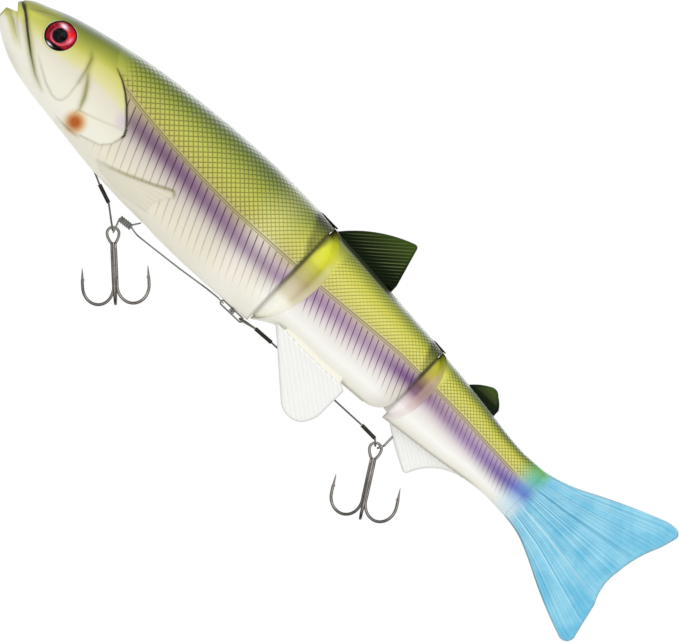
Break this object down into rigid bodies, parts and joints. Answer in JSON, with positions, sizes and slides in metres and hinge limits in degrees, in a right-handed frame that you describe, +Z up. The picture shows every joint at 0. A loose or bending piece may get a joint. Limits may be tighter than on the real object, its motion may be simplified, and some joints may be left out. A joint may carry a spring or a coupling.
{
  "type": "jointed fishing lure",
  "caption": "Jointed fish-shaped fishing lure with hinged body sections, a soft swinging tail, a line tube from mouth to throat, and treble hooks hung on belly wires.",
  "frame": {"origin": "centre of the line tube's mouth, between the jaws", "axes": "+X from nose to tail, +Z up towards the dorsal fin, left flank faces -Y"},
  "size_m": [0.2514, 0.0252, 0.0792],
  "materials": {
    "body_shell": "clear coated, scaled relief, olive back to pearl belly",
    "eye_iris": "metallic red foil",
    "eye_lens": "clear dome",
    "line_tube": "satin",
    "ballast": "dull",
    "hinge_steel": "satin",
    "rig_steel": "dark nickel",
    "leader_wire": "dark wire",
    "crimp_steel": "dark sleeve",
    "stinger_line": "stiff grey line",
    "dark_fin": "ribbed dark green",
    "clear_fin": "ribbed, translucent white",
    "tail_rubber": "soft, ribbed, pale blue",
    "hook_steel": "black nickel"
  },
  "bodies": {
    "head_section": {"head_shell_left": "body_shell", "head_shell_right": "body_shell", "eye_iris_left": "eye_iris", "eye_iris_right": "eye_iris", "eye_lens_left": "eye_lens", "eye_lens_right": "eye_lens", "line_tube": "line_tube", "front_ballast": "ballast", "front_hinge_lugs": "hinge_steel", "belly_hanger": "rig_steel", "stinger_link": "rig_steel", "leader_link": "rig_steel"},
    "mid_section": {"mid_shell_left": "body_shell", "mid_shell_right": "body_shell", "dorsal_fin": "dark_fin", "pelvic_fin_left": "clear_fin", "pelvic_fin_right": "clear_fin", "mid_ballast": "ballast", "front_hinge_pin": "hinge_steel", "rear_hinge_lugs": "hinge_steel", "rear_leader_front_loop": "leader_wire", "rear_leader_front_crimp": "crimp_steel", "rear_leader_wire": "leader_wire"},
    "rear_section": {"rear_shell_left": "body_shell", "rear_shell_right": "body_shell", "adipose_fin": "dark_fin", "anal_fin": "clear_fin", "rear_hinge_pin": "hinge_steel", "rear_hanger": "rig_steel", "rear_leader_crimp": "crimp_steel", "rear_leader_loop": "leader_wire"},
    "tail": {"tail_fin": "tail_rubber", "tail_pin": "hinge_steel"},
    "front_rig": {"front_leader_wire": "leader_wire", "front_leader_crimp": "crimp_steel", "front_leader_loop": "leader_wire", "line_knot": "stinger_line", "stinger_loop": "stinger_line", "stinger_line": "stinger_line"},
    "front_treble": {"front_treble_double": "hook_steel", "front_treble_single": "hook_steel"},
    "rear_treble": {"rear_treble_double": "hook_steel", "rear_treble_single": "hook_steel"}
  },
  "joints": [
    {"name": "front_body_hinge", "type": "hinge", "parent": "head_section", "child": "mid_section", "pos_m": [0.112, 0, 0], "axis": [0, 0, 1], "range_deg": [-30, 30]},
    {"name": "rear_body_hinge", "type": "hinge", "parent": "mid_section", "child": "rear_section", "pos_m": [0.1604, 0, 0], "axis": [0, 0, 1], "range_deg": [-30, 30]},
    {"name": "tail_hinge", "type": "hinge", "parent": "rear_section", "child": "tail", "pos_m": [0.203, 0, 0], "axis": [0, 0, 1], "range_deg": [-18, 18], "stiffness_Nm_per_rad": 0.01},
    {"name": "front_rig_swing", "type": "hinge", "parent": "head_section", "child": "front_rig", "pos_m": [0.0471, 0, -0.01769], "axis": [0.9986, 0, -0.0524], "range_deg": [-30, 30]},
    {"name": "front_treble_swing", "type": "hinge", "parent": "front_rig", "child": "front_treble", "pos_m": [0.0656, 0, -0.02802], "axis": [0, 1, 0], "range_deg": [-20, 76]},
    {"name": "rear_treble_swing", "type": "hinge", "parent": "rear_section", "child": "rear_treble", "pos_m": [0.1657, 0, -0.02087], "axis": [0, 1, 0], "range_deg": [-35, 45]}
  ]
}
